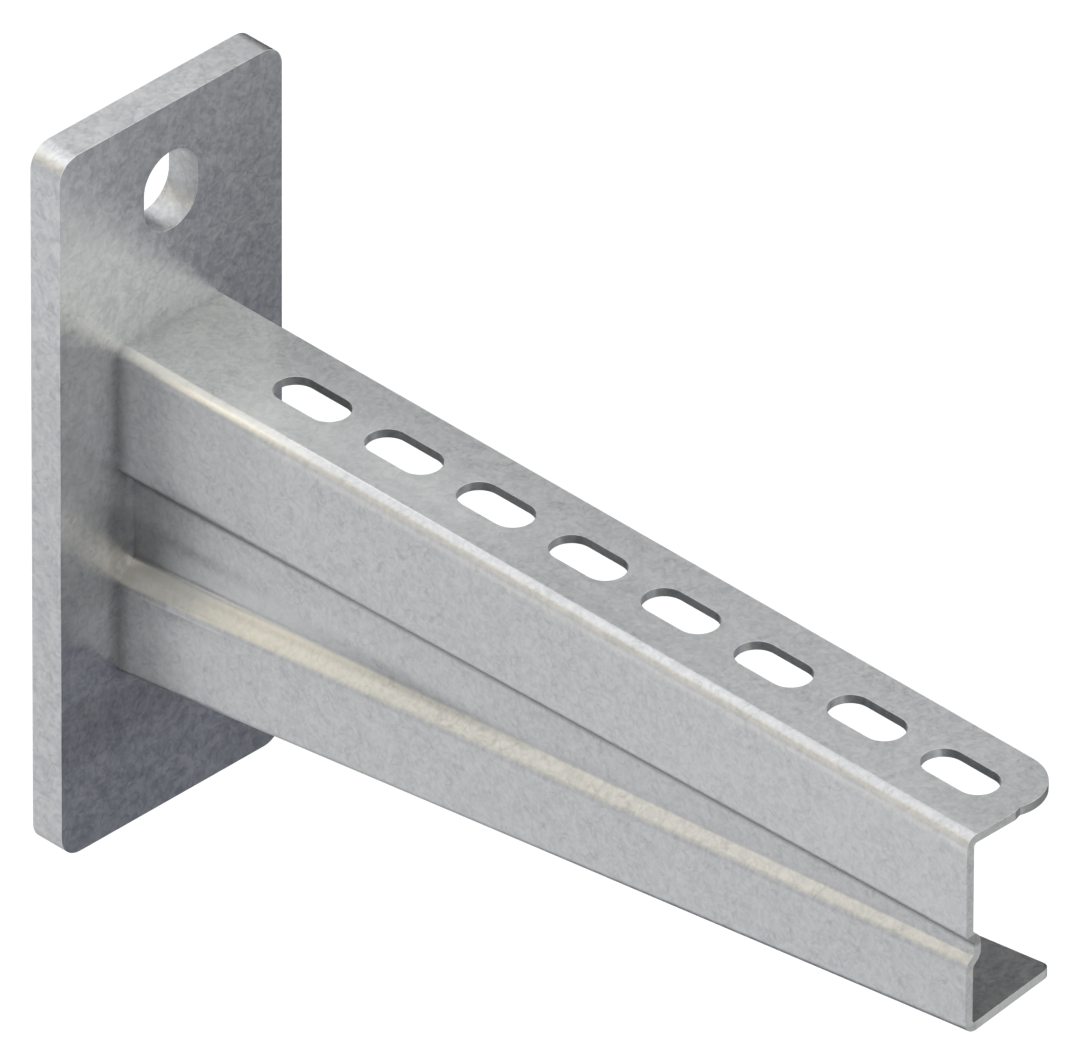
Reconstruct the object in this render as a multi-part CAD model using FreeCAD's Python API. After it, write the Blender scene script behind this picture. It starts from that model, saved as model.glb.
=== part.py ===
import FreeCAD, Part
import math
import os

# A cantilever strut arm: a tapered channel, folded from one sheet and stiffened by a swaged
# groove, welded square onto a thick head plate. Millimetres, +X out from the wall along the arm,
# +Z up. The origin lies on the wall face, midway between the two bolt holes of the head plate.

os.makedirs("parts", exist_ok=True)
Vector = FreeCAD.Vector

# Head plate
plate_width = 60.0
plate_height = 163.3
plate_thickness = 8.0
plate_corner_radius = 5.0
bolt_hole_width = 14.5
bolt_hole_length = 18.0
bolt_hole_top_margin = 20.2
bolt_hole_spacing = 90.0

# Folded channel
sheet_thickness = 2.0
bend_radius = 0.8
arm_length = 229.8
arm_side_margin = 15.35
arm_top_margin = 50.55
web_height_root = 76.55
web_height_tip = 45.75
top_flange_width = 28.0
bottom_flange_width = 26.6
bottom_corner_radius = 2.4

# The punch that rounds the top flange's outer corner runs on past its tangent point and lifts
# out at a slant, which leaves a small nick in the end of the flange
punch_radius = 10.0
punch_overrun = 3.2
punch_lift_run = 1.7

# Groove swaged into the web: the flat lands above and below it, its depth and wall slope
upper_land_root = 28.0
upper_land_tip = 23.2
lower_land_root = 21.55
lower_land_tip = 15.85
groove_depth_root = 4.4
groove_depth_tip = 2.1
groove_wall_slope = 45.0

# Slots along the top flange
slot_width = 9.0
slot_length = 18.0
slot_pitch = 25.0
slot_count = 8
first_slot_distance = 38.2
slot_line_offset = 15.1

# Fillet weld along the inside of the channel
weld_leg = 2.0
weld_toe = 0.3
weld_end_margin = 2.0

# Extra reach of every cutting tool past the faces it opens, and the least rounding of a corner
cut_margin = 1.0
least_radius = 0.3

# Places that follow from the sizes
plate_top = bolt_hole_spacing / 2 + bolt_hole_top_margin
plate_bottom = plate_top - plate_height
web_face = arm_side_margin - plate_width / 2
arm_top = plate_top - arm_top_margin
arm_tip = plate_thickness + arm_length


def rounded_path(corners, radii):
    """Edges from the first corner to the last, each corner between them rounded by an arc."""
    edges = []
    here = corners[0]
    for before, corner, after, radius in zip(corners, corners[1:], corners[2:], radii):
        come = (corner - before).normalize()
        leave = (after - corner).normalize()
        half_turn = come.getAngle(leave) / 2
        room = 0.45 * min((corner - before).Length, (after - corner).Length)
        setback = min(radius * math.tan(half_turn), room)
        bulge = setback / math.tan(half_turn) * (1 / math.cos(half_turn) - 1)
        start = corner - come * setback
        middle = corner + (leave - come).normalize() * bulge
        end = corner + leave * setback
        edges.append(Part.LineSegment(here, start).toShape())
        edges.append(Part.Arc(start, middle, end).toShape())
        here = end
    edges.append(Part.LineSegment(here, corners[-1]).toShape())
    return edges


def closed_path(points):
    """Straight edges through the points in turn."""
    return [Part.LineSegment(a, b).toShape() for a, b in zip(points, points[1:])]


def prism(edges, direction):
    return Part.Face(Part.Wire(edges)).extrude(direction)


def slot_cutter(centre, along, across, length, width, through):
    """Prism with straight flanks and half-round ends."""
    radius = width / 2
    run = along * (length / 2 - radius)
    side = across * radius
    reach = along * (length / 2)
    edges = [
        Part.LineSegment(centre - run - side, centre + run - side).toShape(),
        Part.Arc(centre + run - side, centre + reach, centre + run + side).toShape(),
        Part.LineSegment(centre + run + side, centre - run + side).toShape(),
        Part.Arc(centre - run + side, centre - reach, centre - run - side).toShape(),
    ]
    return prism(edges, through)


def head_plate():
    half = plate_width / 2
    corners = [
        Vector(0, 0, plate_bottom),
        Vector(0, half, plate_bottom),
        Vector(0, half, plate_top),
        Vector(0, -half, plate_top),
        Vector(0, -half, plate_bottom),
        Vector(0, 0, plate_bottom),
    ]
    outline = rounded_path(corners, [plate_corner_radius] * 4)
    plate = prism(outline, Vector(plate_thickness, 0, 0))
    through = Vector(plate_thickness + 2 * cut_margin, 0, 0)
    for z in (-bolt_hole_spacing / 2, bolt_hole_spacing / 2):
        centre = Vector(-cut_margin, 0, z)
        upright, sideways = Vector(0, 0, 1), Vector(0, 1, 0)
        hole = slot_cutter(centre, upright, sideways, bolt_hole_length, bolt_hole_width, through)
        plate = plate.cut(hole)
    return plate


def channel_skin(x):
    """Corners of the channel's outer skin at one station, from flange edge to flange edge."""
    share = (x - plate_thickness) / arm_length

    def taper(root, tip):
        return root + (tip - root) * share

    bottom = arm_top - taper(web_height_root, web_height_tip)
    lower = bottom + taper(lower_land_root, lower_land_tip)
    upper = arm_top - taper(upper_land_root, upper_land_tip)
    depth = taper(groove_depth_root, groove_depth_tip)
    rise = depth * math.tan(math.radians(groove_wall_slope))
    return [
        Vector(x, web_face + bottom_flange_width, bottom),
        Vector(x, web_face, bottom),
        Vector(x, web_face, lower),
        Vector(x, web_face + depth, lower + rise),
        Vector(x, web_face + depth, upper - rise),
        Vector(x, web_face, upper),
        Vector(x, web_face, arm_top),
        Vector(x, web_face + top_flange_width, arm_top),
    ]


def fold_line(skin, depth):
    """Edges of the line that lies at a depth below the outer skin, round all its bends."""
    runs = [(b - a).normalize() for a, b in zip(skin, skin[1:])]
    inward = [run.cross(Vector(1, 0, 0)) for run in runs]
    corners = [skin[0] + inward[0] * depth]
    radii = []
    for corner, first, second, come, leave in zip(skin[1:], inward, inward[1:], runs, runs[1:]):
        corners.append(corner + (first + second) * (depth / (1 + first.dot(second))))
        folds_inward = come.cross(leave).x < 0
        radius = bend_radius + (sheet_thickness - depth if folds_inward else depth)
        radii.append(max(radius, least_radius))
    corners.append(skin[-1] + inward[-1] * depth)
    return rounded_path(corners, radii)


def layer_section(skin, shallow, deep):
    """Closed wire between two depths below the outer skin."""
    near = fold_line(skin, shallow)
    far = fold_line(skin, deep)
    first_cap = Part.LineSegment(near[0].Vertexes[0].Point, far[0].Vertexes[0].Point)
    last_cap = Part.LineSegment(near[-1].Vertexes[-1].Point, far[-1].Vertexes[-1].Point)
    return Part.Wire(near + [last_cap.toShape()] + far[::-1] + [first_cap.toShape()])


def folded_blank():
    """The sheet with its flanges and groove, before anything is punched or trimmed."""
    root = layer_section(channel_skin(plate_thickness), 0, sheet_thickness)
    tip = layer_section(channel_skin(arm_tip), 0, sheet_thickness)
    return Part.makeLoft([root, tip], True, True)


def flange_slots():
    cutters = []
    below = arm_top - sheet_thickness - cut_margin
    through = Vector(0, 0, sheet_thickness + 2 * cut_margin)
    for number in range(slot_count):
        x = plate_thickness + first_slot_distance + number * slot_pitch
        centre = Vector(x, web_face + slot_line_offset, below)
        along, across = Vector(1, 0, 0), Vector(0, 1, 0)
        cutters.append(slot_cutter(centre, along, across, slot_length, slot_width, through))
    return cutters


def top_corner_cutter():
    """What the round punch takes off the outer corner of the top flange."""
    edge = web_face + top_flange_width
    below = arm_top - sheet_thickness - cut_margin
    centre = Vector(arm_tip - punch_radius, edge - punch_radius, below)
    start_angle = -math.asin(punch_overrun / punch_radius)
    middle_angle = (start_angle + math.pi / 2) / 2

    def on_circle(angle):
        return centre + Vector(math.cos(angle), math.sin(angle), 0) * punch_radius

    start, end = on_circle(start_angle), on_circle(math.pi / 2)
    outside = [
        end,
        Vector(end.x, edge + cut_margin, below),
        Vector(arm_tip + cut_margin, edge + cut_margin, below),
        Vector(arm_tip + cut_margin, start.y - punch_lift_run, below),
        Vector(arm_tip, start.y - punch_lift_run, below),
        start,
    ]
    arc = Part.Arc(start, on_circle(middle_angle), end).toShape()
    return prism([arc] + closed_path(outside), Vector(0, 0, sheet_thickness + 2 * cut_margin))


def bottom_end_cutter():
    """Trims the bottom flange as the square-ended blank leaves it once folded.

    The fold climbs towards the tip, so an end that is square to the top of the blank
    falls back across the bottom flange by the fold's slope.
    """
    climb = web_height_root - web_height_tip
    below = arm_top - web_height_root - cut_margin
    flat_start = web_face + sheet_thickness + bend_radius
    edge = web_face + bottom_flange_width
    corner = arm_tip - (edge - flat_start) * climb / arm_length
    back = corner - 2 * bottom_corner_radius
    line = [Vector(arm_tip, flat_start, below), Vector(corner, edge, below), Vector(back, edge, below)]
    outside = [
        line[-1],
        Vector(back, edge + cut_margin, below),
        Vector(arm_tip + cut_margin, edge + cut_margin, below),
        Vector(arm_tip + cut_margin, flat_start, below),
        line[0],
    ]
    height = climb + sheet_thickness + 2 * cut_margin
    trimmed = rounded_path(line, [bottom_corner_radius])
    return prism(trimmed + closed_path(outside), Vector(0, 0, height))


def channel_arm():
    cutters = flange_slots() + [top_corner_cutter(), bottom_end_cutter()]
    return folded_blank().cut(cutters)


def weld_seam():
    """Fillet weld that follows the inside of the channel where it meets the head plate."""
    sections = []
    for advance, height in ((0, weld_leg), (weld_leg, weld_toe)):
        skin = channel_skin(plate_thickness + advance)
        skin[0].y -= weld_end_margin
        skin[-1].y -= weld_end_margin
        sections.append(layer_section(skin, sheet_thickness, sheet_thickness + height))
    return Part.makeLoft(sections, True, True)


pieces = {
    "head_plate": head_plate(),
    "channel_arm": channel_arm(),
    "weld_seam": weld_seam(),
}
for name, shape in pieces.items():
    for solid in shape.Solids:
        print(name, "volume", round(solid.Volume, 1), "valid", solid.isValid())
    shape.exportStep("parts/" + name + ".step")
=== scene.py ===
import math

import bpy
from mathutils import Matrix, Vector

# A galvanised cantilever arm: a thick head plate, a channel folded from sheet and the weld
# that joins them, in a white studio. Lengths are metres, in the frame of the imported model.

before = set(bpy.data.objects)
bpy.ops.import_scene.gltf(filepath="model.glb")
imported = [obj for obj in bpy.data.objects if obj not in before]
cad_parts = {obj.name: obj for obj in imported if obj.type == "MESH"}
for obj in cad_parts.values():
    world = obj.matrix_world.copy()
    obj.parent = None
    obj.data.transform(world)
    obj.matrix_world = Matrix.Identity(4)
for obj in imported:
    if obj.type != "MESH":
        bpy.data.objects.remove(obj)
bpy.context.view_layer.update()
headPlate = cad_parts["head_plate"]
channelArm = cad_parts["channel_arm"]
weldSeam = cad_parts["weld_seam"]
print("frame loaded:", ", ".join(sorted(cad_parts)))

mm = 0.001


def paint(hexCode):  # an sRGB hex value as the linear colour that Blender wants
    shares = [int(hexCode[i:i + 2], 16) / 255 for i in (1, 3, 5)]
    return [s / 12.92 if s <= 0.04045 else ((s + 0.055) / 1.055) ** 2.4 for s in shares] + [1.0]


def addNode(tree, kind, settings=None, inputs=None):
    node = tree.nodes.new(kind)
    for name, value in (settings or {}).items():
        setattr(node, name, value)
    for name, value in (inputs or {}).items():
        if isinstance(value, bpy.types.NodeSocket):
            tree.links.new(value, node.inputs[name])
        else:
            node.inputs[name].default_value = value
    return node


def newMaterial(name):
    material = bpy.data.materials.new(name)
    material.use_nodes = True
    material.node_tree.nodes.clear()
    return material, material.node_tree


def selectOnly(piece):
    bpy.ops.object.select_all(action="DESELECT")
    piece.select_set(True)
    bpy.context.view_layer.objects.active = piece


def away(azimuth, elevation):  # direction out of the object, azimuth turns from +X to +Y
    around, above = math.radians(azimuth), math.radians(elevation)
    return Vector((math.cos(around) * math.cos(above), math.sin(around) * math.cos(above),
                   math.sin(above)))


def facing(direction):  # the turn that points a camera or a lamp in a direction
    return direction.to_track_quat("-Z", "Y").to_matrix().to_4x4()


# The camera looks down along the three equal axes of an isometric drawing

camera = {
    "azimuth": -45.065,
    "elevation": 34.81,
    "roll": 0.216,
    "distance": 8.644,  # far off with a long lens, so parallel edges stay parallel
    "lens": 1500.0,  # millimetres, as the sensor's width is
    "sensor": 36.0,
    "clip": (1.0, 40.0),
    "aim": (0.089274, 0.019318, -0.004139),
}


def placeCamera(view):
    data = bpy.data.cameras.new("studioCamera")
    data.lens, data.sensor_width = view["lens"], view["sensor"]
    data.clip_start, data.clip_end = view["clip"]
    holder = bpy.data.objects.new("studioCamera", data)
    bpy.context.scene.collection.objects.link(holder)
    back = away(view["azimuth"], view["elevation"])
    place = Matrix.Translation(Vector(view["aim"]) + back * view["distance"])
    roll = Matrix.Rotation(math.radians(view["roll"]), 4, "Z")
    holder.matrix_world = place @ facing(-back) @ roll
    bpy.context.scene.camera = holder
    bpy.context.scene.view_settings.view_transform = "Standard"


placeCamera(camera)
print("camera placed")

# White studio: pale floor, white walls, a wide ceiling light and three softboxes. The cards
# give the metal something to mirror, as a photographer's flags do.

floorBoard = {
    "level": -0.30,
    "size": 60.0,
    "colour": "#C2C3C5",
    "glow": 0.21,  # lifts the board to white, for the camera and in the metal alike
}
lampAim = Vector((0.1, 0.0, 0.0))  # near the middle of the arm
lamps = {
    # middle and size of each panel, and its light over that of the walls behind it
    "ceiling": {"colour": "#FFFFFF", "radiance": 0.87, "place": (0.1, 0.0, 1.4),
                "size": (3.6, 3.2)},
    # the warm stripes in the top fold and in the lower wall of the groove
    "warmSoftbox": {"colour": "#FCE8B6", "radiance": 0.30, "place": (-0.8, -0.9, 0.76),
                    "size": (1.2, 0.7)},
    # the top flange, as the head plate mirrors it
    "farSoftbox": {"colour": "#F8FFE6", "radiance": 0.75, "place": (1.15, 0.85, 0.95),
                   "size": (2.6, 1.4)},
    # the lower wall of the groove, as the head plate mirrors it
    "sideSoftbox": {"colour": "#FFF3D0", "radiance": 0.12, "place": (1.0, -0.95, 0.95),
                    "size": (1.8, 1.2)},
}
cards = {
    # middle and size of each flat card, and its turn in degrees
    # behind the arm: its top flange and the top of the plate mirror it
    "standingCard": {"colour": "#181A1C", "place": (-0.82, 0.92, 0.335), "size": (1.9, 1.25),
                     "turn": (90, -15, 45)},
    # behind the warm softbox, so that the warm stripes end softly
    "warmCard": {"colour": "#FAF5E8", "place": (-0.95, -1.0, 0.72), "size": (1.1, 0.55),
                 "turn": (118, 0, 135)},
    # on the floor: the front of the plate and the end of the arm mirror both
    "nearFloorCard": {"colour": "#60636D", "place": (0.19, 0.19, -0.294), "size": (0.46, 0.50),
                      "turn": (0, 0, 0)},
    "farFloorCard": {"colour": "#A8A9AC", "place": (0.40, 0.50, -0.295), "size": (1.4, 1.1),
                     "turn": (0, 0, 0)},
}
wallLight = 1.0


def layFloor(board):
    bpy.ops.mesh.primitive_plane_add(size=board["size"], location=(0, 0, board["level"]))
    floor = bpy.context.object
    floor.name = "studioFloor"
    material, tree = newMaterial("mattWhiteBoard")  # painted board, no shine
    rays = addNode(tree, "ShaderNodeLightPath")
    seen = addNode(tree, "ShaderNodeMath", {"operation": "ADD"}, {
        0: rays.outputs["Is Camera Ray"], 1: rays.outputs["Is Glossy Ray"]})
    seen = addNode(tree, "ShaderNodeMath", {"operation": "ADD"}, {
        0: seen.outputs[0], 1: rays.outputs["Is Transmission Ray"]})
    glow = addNode(tree, "ShaderNodeMath", {"operation": "MULTIPLY"}, {
        0: seen.outputs[0], 1: board["glow"]})
    matt = addNode(tree, "ShaderNodeBsdfPrincipled", inputs={
        "Base Color": paint(board["colour"]), "Roughness": 1.0, "Specular IOR Level": 0.0,
        "Emission Color": (1, 1, 1, 1), "Emission Strength": glow.outputs[0]})
    addNode(tree, "ShaderNodeOutputMaterial", inputs={"Surface": matt.outputs[0]})
    floor.data.materials.append(material)


def hangLamp(name, lamp):
    data = bpy.data.lights.new(name, "AREA")
    data.shape = "RECTANGLE"
    data.size, data.size_y = lamp["size"]
    data.color = paint(lamp["colour"])[:3]
    data.energy = lamp["radiance"] * math.pi * data.size * data.size_y
    holder = bpy.data.objects.new(name, data)
    bpy.context.scene.collection.objects.link(holder)
    place = Vector(lamp["place"])
    holder.matrix_world = Matrix.Translation(place) @ facing(lampAim - place)
    holder.visible_camera = False


def standCard(name, card):
    turn = [math.radians(angle) for angle in card["turn"]]
    bpy.ops.mesh.primitive_plane_add(size=1.0, location=card["place"], rotation=turn)
    panel = bpy.context.object
    panel.name = name
    panel.scale = (*card["size"], 1.0)
    material, tree = newMaterial(name + "Cloth")  # matt cloth, no shine
    cloth = addNode(tree, "ShaderNodeBsdfPrincipled", inputs={
        "Base Color": paint(card["colour"]), "Roughness": 1.0, "Specular IOR Level": 0.0})
    addNode(tree, "ShaderNodeOutputMaterial", inputs={"Surface": cloth.outputs[0]})
    panel.data.materials.append(material)
    panel.visible_camera = False  # only the metal sees it
    panel.visible_diffuse = False
    panel.visible_shadow = False


def lightWalls(strength):
    world = bpy.data.worlds.new("whiteWalls")
    world.use_nodes = True
    world.node_tree.nodes.clear()
    walls = addNode(world.node_tree, "ShaderNodeBackground", inputs={
        "Color": (1, 1, 1, 1), "Strength": strength})
    addNode(world.node_tree, "ShaderNodeOutputWorld", inputs={"Surface": walls.outputs[0]})
    bpy.context.scene.world = world


layFloor(floorBoard)
for name, lamp in lamps.items():
    hangLamp(name, lamp)
for name, card in cards.items():
    standCard(name, card)
lightWalls(wallLight)
print("studio lit")

# Galvanised steel: rolled sheet and flat stock, welded and then dipped in hot zinc. The zinc
# leaves a dull silver grey skin: soft gloss, cloudy where the coat is thicker, with fine dark
# curls where the crystals met as it froze.

# Places in mm, as fades along an axis: where a patch starts, where it is full, and the climb
# per mm along the arm where it follows a fold of the tapered channel
landClimb, grooveClimb = 0.0209, 0.0309  # the two folds above the groove's floor
floorClimb, lowerLandClimb = 0.0992, 0.1092  # the two folds below it
bottomClimb = 0.134
topFlange = [("Z", 12.3, 12.6), ("Y", -12.5, -10)]
topFlangeAndFold = [("Z", 12.3, 12.6), ("Y", -13.5, -11)]
topFlangeEdge = [("Z", 14.62, 14.5), ("Z", 12.3, 12.6)]
topFold = [("Y", -11.9, -12.5), ("Z", 13.0, 13.6)]
upperWeb = [("Y", -14.3, -14.6), ("Z", -14, -12.5, landClimb)]
grooveLowerWall = [("Z", -41.6, -40.8, lowerLandClimb), ("Z", -36.4, -37.2, floorClimb),
                   ("Y", -14.5, -14.0), ("Y", -10.2, -10.7)]
plateFront = ("X", 7.8, 7.95)
# black for painted shade, white for painted light and for paler cut ends
paintedShade, pale = "#000000", "#FFFFFF"

sheetFinish = {
    "paleZinc": "#BFBFBF",
    "darkZinc": "#A4A6A9",
    "roughness": 0.34,
    "uneven": 0.03,  # pale zinc is rougher than dark by twice this
    # frost on the zinc: finer than this, and drawn as coarse as it needs to be to show
    "grain": {"size": 0.35 * mm, "weight": 0.35},
    # drift of the coat's thickness, over 3 mm
    "cloud": {"size": 3.0 * mm, "weight": 0.6, "detail": 2.0, "seed": 7.0},
    # winding crystals 2 mm apart, some pale and some dark: lines of some width about the middle
    # of a noise, which its bend turns round on itself
    "worm": {"size": 2.0 * mm, "detail": 0.6, "bend": 0.5, "width": 0.12, "weight": 0.25,
             "paleSeed": 3.0, "darkSeed": 23.0},
    # thin dark curls where crystals met, let through where a second noise rises past two levels
    "curl": {"size": 2.6 * mm, "detail": 0.6, "bend": 0.7, "width": 0.06, "seed": 11.0,
             "colour": "#6C6E70", "strength": 0.20,
             "spread": 2.6 * mm, "levels": (0.48, 0.60), "spreadSeed": 17.0},
    "relief": 0.006 * mm,  # depth of the clouds and the worms
    # ends that look along an axis, beyond a place on it, are left rougher by the shears; facing
    # is how squarely they look along it
    "shorn": {"axis": "X", "beyond": 225 * mm, "facing": (0.85, 0.97), "roughness": 1.0,
              "pale": 0.15},
    # painted shade and painted light, as darker or lighter patches: a colour, its strength and its
    # place
    "paintedLightAndShade": [
        # painted shade in the corners that the web and the groove make with the plate
        (paintedShade, 0.28, [("X", 12, 8), ("Z", 14, 12)]),
        (paintedShade, 0.20, [("X", 26, 8), ("Y", -14.6, -12.5), ("Z", 8, 5), ("Z", -37.5, -36)]),
        # painted shade on the groove's floor, just below its upper wall
        (paintedShade, 0.04, [("Y", -14.3, -13.5), ("Z", -25.5, -18.5, grooveClimb),
                      ("Z", -13.2, -13.8, landClimb)]),
        # painted shade on the lower web beside the plate, and painted light on the upper web,
        # brighter towards the tip
        (paintedShade, 0.12, [("X", 22, 10), ("Z", -38, -42)]),
        (pale, 0.05, [("X", 80, 238), *upperWeb]),
        # the top flange: painted shade at the plate, and a painted sheen before the first slots
        (paintedShade, 0.06, [("X", 30, 12), *topFlange]),
        (paintedShade, 0.06, [("X", 9.8, 8.2), *topFlangeAndFold]),
        (pale, 0.20, [("X", 28, 46), ("X", 125, 80), ("Y", 10, -7), ("Z", 14.55, 14.64)]),
        # painted shade at its end and on the punched edge round its corner, and a painted shadow
        # beside the nick in that edge
        (paintedShade, 0.08, [("X", 215, 235), *topFlange]),
        (paintedShade, 0.65, [("X", 230, 234), ("Y", -1, 6), *topFlangeEdge]),
        (paintedShade, 0.60, [("X", 236.4, 236.9), ("Y", -1.6, -1.4), ("Y", 0.3, 0.1), *topFlangeEdge]),
        # the cut end of the bottom flange, pale up to its rounded corner, and painted shade on that
        # corner
        (pale, 0.30, [("X", 231, 233), ("Y", -12, -11), ("Y", 10.6, 9.6),
                      ("Z", -60.95, -61.1, bottomClimb), ("Z", -62.95, -62.8, bottomClimb)]),
        (paintedShade, 0.45, [("X", 229, 231), ("Y", 10.2, 11.4), ("Z", -60.95, -61.1, bottomClimb)]),
        # the shaded inner fold along the top of the groove
        (paintedShade, 0.40, [("Y", -14.5, -14.0), ("Z", -19.2, -18.0, grooveClimb),
                      ("Z", -13.2, -13.8, landClimb)]),
        # painted shade inside the bottom flange, and painted light on the groove's floor
        (paintedShade, 0.25, [("Z", -24, -28), ("Y", -12.7, -11.5)]),
        (pale, 0.20, [("X", 10, 24), ("X", 85, 45), ("Y", -12.2, -11),
                      ("Z", -29, -33, floorClimb)]),
        # a painted highlight on the top fold beside the plate, painted shade dimming it further
        # along, and painted light on the web just below it
        ("#F6F1E4", 0.45, [("X", 70, 28), ("X", 6, 14), *topFold]),
        (paintedShade, 0.05, [("X", 50, 75), *topFold]),
        (paintedShade, 0.06, [("X", 150, 215), *topFold]),
        ("#FFFAF0", 0.14, [("X", 30, 60), ("Y", -13.8, -14.4), ("Z", 10.5, 12.2)]),
        # a painted highlight on the groove's lower wall beside the plate
        ("#E2DED2", 0.32, [("X", 100, 30), *grooveLowerWall]),
        ("#F4ECD8", 0.25, [("X", 24, 13), *grooveLowerWall]),
        # painted shade on the upper web near the plate
        (paintedShade, 0.07, [("X", 55, 40), ("X", 14, 26), *upperWeb]),
    ],
}
plateFinish = {
    "paleZinc": "#C6C6C7",
    "darkZinc": "#A9ABAE",
    "roughness": 0.35,
    "uneven": 0.035,
    "grain": sheetFinish["grain"],
    "cloud": {**sheetFinish["cloud"], "size": 3.5 * mm, "weight": 0.9},
    "worm": {**sheetFinish["worm"], "size": 2.2 * mm, "weight": 0.3},
    "curl": {**sheetFinish["curl"], "size": 2.8 * mm},
    "relief": 0.015 * mm,
    "shorn": {**sheetFinish["shorn"], "axis": "Z", "beyond": 64.7 * mm, "roughness": 0.5,
              "pale": 0.0},
    # the walls of the bolt holes: near a hole's middle, and hardly facing along X; rougher, and
    # darkened with painted shade
    "bores": {"middles": (45 * mm, -45 * mm), "reach": 10 * mm, "facing": 0.5,
              "roughness": 0.45, "paintedShade": 0.1},
    "paintedLightAndShade": [
        # painted shade in the corner with the web
        (paintedShade, 0.28, [("Y", -18.5, -14.65), ("Y", -11, -13), ("Z", 16, 10), ("Z", -64, -61),
                      plateFront]),
        # a painted reflection of the arm: lighter above it and beside the top of the web
        (pale, 0.12, [("Y", 5, -22), ("Z", 20, 45), plateFront]),
        (pale, 0.07, [("Z", 14, 8), ("Z", -20, -12), ("Y", -17, -21), plateFront]),
        # painted shade down the far side, down the near edge, beside the groove and below the arm
        (paintedShade, 0.05, [("Y", 8, 22)]),
        (paintedShade, 0.06, [("Y", 8, 22), ("Z", 60, 30), plateFront]),
        (paintedShade, 0.08, [("Z", 32, 5), ("Y", -29.4, -29.8)]),
        (paintedShade, 0.20, [("Y", -13, -17), ("Z", -18, -26), ("Z", -46, -38), plateFront]),
        (paintedShade, 0.18, [("Z", -60, -66), ("Z", -84, -72), plateFront]),
        # painted shade on the far half of the top edge, and in the corner with the top flange
        (paintedShade, 0.07, [("Z", 64.85, 65.0), ("Y", 0, 25)]),
        (paintedShade, 0.08, [("Z", 22.5, 18), ("Z", 10, 12), ("Y", 14, 11), ("Y", -17, -13), plateFront]),
        (paintedShade, 0.06, [("Z", 16.0, 14.9), ("Z", 10, 12), ("Y", 14, 11), ("Y", -15, -13),
                      plateFront]),
    ],
}
weldFinish = {**sheetFinish, "roughness": 0.5, "paintedLightAndShade": []}
layering = 0.55  # how strongly each finer layer of a noise counts


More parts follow.
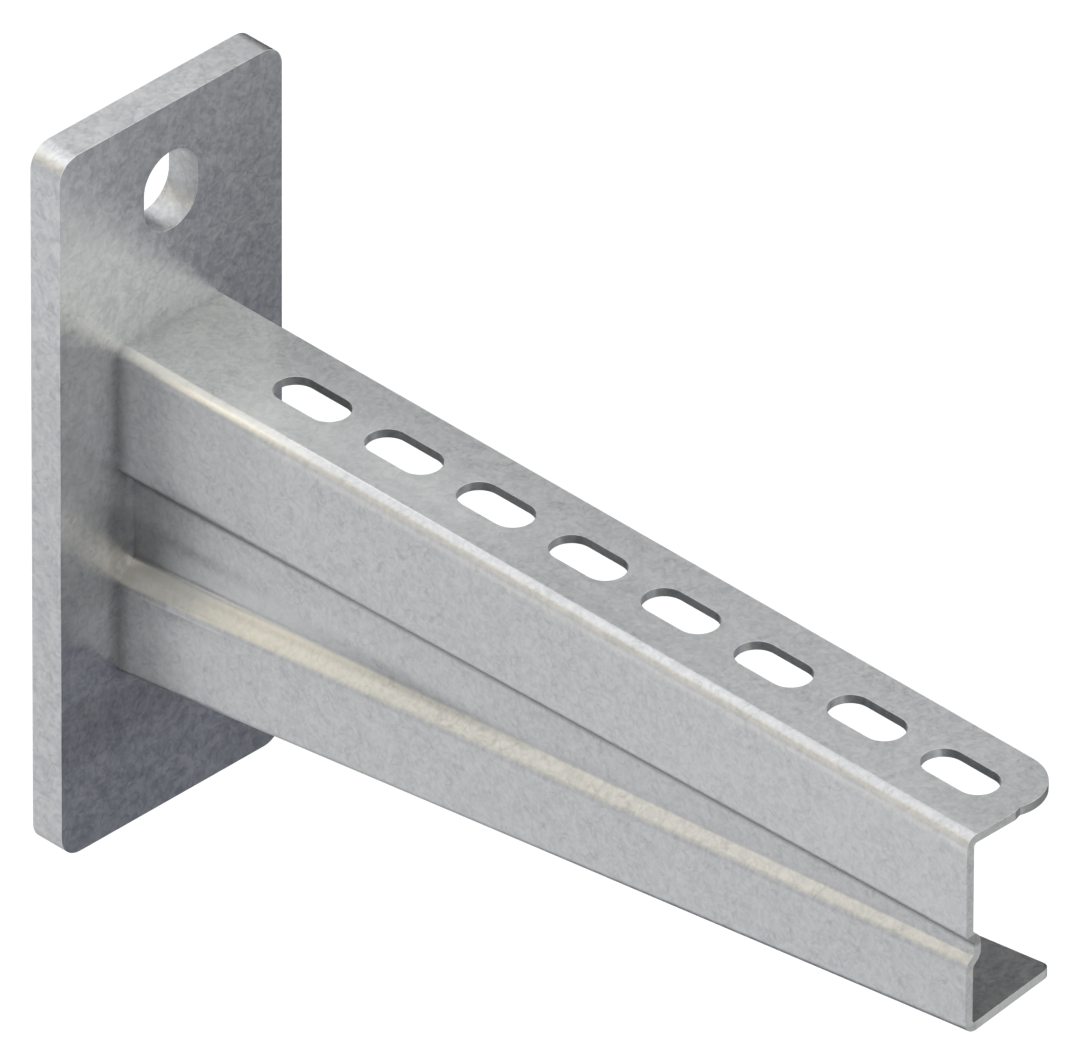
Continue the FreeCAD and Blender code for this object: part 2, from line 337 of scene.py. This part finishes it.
def galvanisedSteel(name, finish):
    material, tree = newMaterial(name)
    place = addNode(tree, "ShaderNodeTexCoord").outputs["Object"]
    along = addNode(tree, "ShaderNodeSeparateXYZ", inputs={0: place}).outputs
    outward = addNode(tree, "ShaderNodeSeparateXYZ", inputs={
        0: addNode(tree, "ShaderNodeNewGeometry").outputs["Normal"]}).outputs

    def noise(size, seed=0.0, detail=1.0, bend=0.0):
        return addNode(tree, "ShaderNodeTexNoise", {"noise_dimensions": "4D"}, {
            "Vector": place, "W": seed, "Scale": 1 / size, "Detail": detail,
            "Roughness": layering, "Distortion": bend}).outputs["Fac"]

    def work(operation, *values):
        inputs = dict(enumerate(values))
        return addNode(tree, "ShaderNodeMath", {"operation": operation}, inputs).outputs[0]

    def ramp(value, start, end, low=0.0, high=1.0):  # eases from low at start to high at end
        return addNode(tree, "ShaderNodeMapRange", {"interpolation_type": "SMOOTHSTEP"}, {
            "Value": value, "From Min": start, "From Max": end, "To Min": low,
            "To Max": high}).outputs[0]

    def blend(share, first, second):
        return addNode(tree, "ShaderNodeMix", inputs={
            "Factor": share, "A": first, "B": second}).outputs[0]

    def tint(share, first, second):
        return addNode(tree, "ShaderNodeMix", {"data_type": "RGBA"}, {
            "Factor": share, 6: first, 7: second}).outputs[2]

    def worms(lines, seed):  # winding lines, where a bent noise crosses its middle
        bent = noise(lines["size"], seed, lines["detail"], lines["bend"])
        fromMiddle = work("ABSOLUTE", work("SUBTRACT", bent, 0.5))
        return ramp(fromMiddle, lines["width"], 0.0)

    # frozen zinc: clouds of tone, pale and dark worms, grain, and sparse dark curls
    grain, cloud, worm, curl = (finish[key] for key in ("grain", "cloud", "worm", "curl"))
    dents = work("MULTIPLY_ADD", noise(cloud["size"], cloud["seed"], cloud["detail"]),
                 cloud["weight"], 0.5 - cloud["weight"] / 2)
    dents = work("MULTIPLY_ADD", worms(worm, worm["paleSeed"]), worm["weight"], dents)
    dents = work("MULTIPLY_ADD", worms(worm, worm["darkSeed"]), -worm["weight"], dents)
    tone = work("MULTIPLY_ADD", work("SUBTRACT", noise(grain["size"]), 0.5), grain["weight"],
                dents)
    colour = tint(tone, paint(finish["darkZinc"]), paint(finish["paleZinc"]))
    spread = ramp(noise(curl["spread"], curl["spreadSeed"]), *curl["levels"], 0.0,
                  curl["strength"])
    curls = work("MULTIPLY", worms(curl, curl["seed"]), spread)
    colour = tint(curls, colour, paint(curl["colour"]))

    # painted light and shade: each patch tints the colour towards its own, fading in along its axes
    for paintedTone, strength, fades in finish["paintedLightAndShade"]:
        share = strength
        for axis, start, end, *climb in fades:
            where = along[axis]
            if climb:
                where = work("MULTIPLY_ADD", along["X"], -climb[0], where)
            share = work("MULTIPLY", ramp(where, start * mm, end * mm), share)
        colour = tint(share, colour, paint(paintedTone))

    # gloss: rougher where the zinc is pale, on sheared ends and in the bores
    gloss = ramp(tone, 0.0, 1.0, finish["roughness"] - finish["uneven"],
                 finish["roughness"] + finish["uneven"])
    shorn = finish["shorn"]
    shornEnd = work("MULTIPLY", work("GREATER_THAN", along[shorn["axis"]], shorn["beyond"]),
                    ramp(outward[shorn["axis"]], *shorn["facing"]))
    gloss = blend(shornEnd, gloss, shorn["roughness"])
    colour = tint(work("MULTIPLY", shornEnd, shorn["pale"]), colour, paint(pale))
    if "bores" in finish:
        bores = finish["bores"]
        for middle in bores["middles"]:
            up = work("SUBTRACT", along["Z"], middle)
            fromMiddle = work("SQRT", work("ADD", work("MULTIPLY", up, up),
                                           work("MULTIPLY", along["Y"], along["Y"])))
            wall = work("MULTIPLY", work("LESS_THAN", fromMiddle, bores["reach"]),
                        work("LESS_THAN", work("ABSOLUTE", outward["X"]), bores["facing"]))
            gloss = blend(wall, gloss, bores["roughness"])
            # painted shade inside the bores
            colour = tint(work("MULTIPLY", wall, bores["paintedShade"]), colour, paint(paintedShade))

    relief = addNode(tree, "ShaderNodeBump", inputs={
        "Height": dents, "Distance": finish["relief"], "Strength": 1.0})
    zinc = addNode(tree, "ShaderNodeBsdfPrincipled", inputs={
        "Base Color": colour, "Metallic": 1.0, "Roughness": gloss, "Normal": relief.outputs[0]})
    addNode(tree, "ShaderNodeOutputMaterial", inputs={"Surface": zinc.outputs[0]})
    return material


headPlate.material_slots[0].material = galvanisedSteel("galvanisedPlate", plateFinish)
channelArm.material_slots[0].material = galvanisedSteel("galvanisedSheet", sheetFinish)
weldSeam.material_slots[0].material = galvanisedSteel("galvanisedWeld", weldFinish)
print("zinc on")

# Edges: sawn and punched steel keeps crisp edges, which the zinc only just rounds

edges = {
    "width": 0.06 * mm,
    "segments": 2,
    "sharpest": 38,  # degrees between faces from which an edge is rounded
    "rootEnd": 8.01 * mm,  # the channel stands on the plate up to here, and isn't rounded
    "join": 0.002 * mm,  # corners of loose facets this near are one corner
    "spot": 0.001 * mm,  # the grid on which the ends of their edges are matched
    "flatWeight": 50,  # how much the larger faces count in the shading
}


def roundEdges(piece, rounding, leaveBelow=None):
    mesh = piece.data

    def spot(corner):
        return tuple(round(c / rounding["spot"]) for c in mesh.vertices[corner].co)

    beside = {}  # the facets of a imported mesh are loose, so their shared edges are found by place
    for face in mesh.polygons:
        for ends in face.edge_keys:
            beside.setdefault(frozenset(map(spot, ends)), []).append(face.normal.copy())
    weights = mesh.attributes.new("bevel_weight_edge", "FLOAT", "EDGE").data
    sharpest = math.radians(rounding["sharpest"])
    for edge in mesh.edges:
        normals = beside[frozenset(map(spot, edge.vertices))]
        turned = len(normals) == 2 and normals[0].angle(normals[1]) > sharpest
        joined = leaveBelow is not None and all(
            mesh.vertices[i].co.x < leaveBelow for i in edge.vertices)
        weights[edge.index].value = 1.0 if turned and not joined else 0.0
    selectOnly(piece)
    bpy.ops.object.shade_smooth()
    joinFacets = piece.modifiers.new("joinFacets", "WELD")
    joinFacets.merge_threshold = rounding["join"]
    rounded = piece.modifiers.new("roundEdges", "BEVEL")
    rounded.limit_method = "WEIGHT"
    rounded.width = rounding["width"]
    rounded.segments = rounding["segments"]
    rounded.use_clamp_overlap = False
    shading = piece.modifiers.new("keepFlatsFlat", "WEIGHTED_NORMAL")
    shading.weight = rounding["flatWeight"]


roundEdges(headPlate, edges)
roundEdges(channelArm, edges, leaveBelow=edges["rootEnd"])
print("edges rounded")
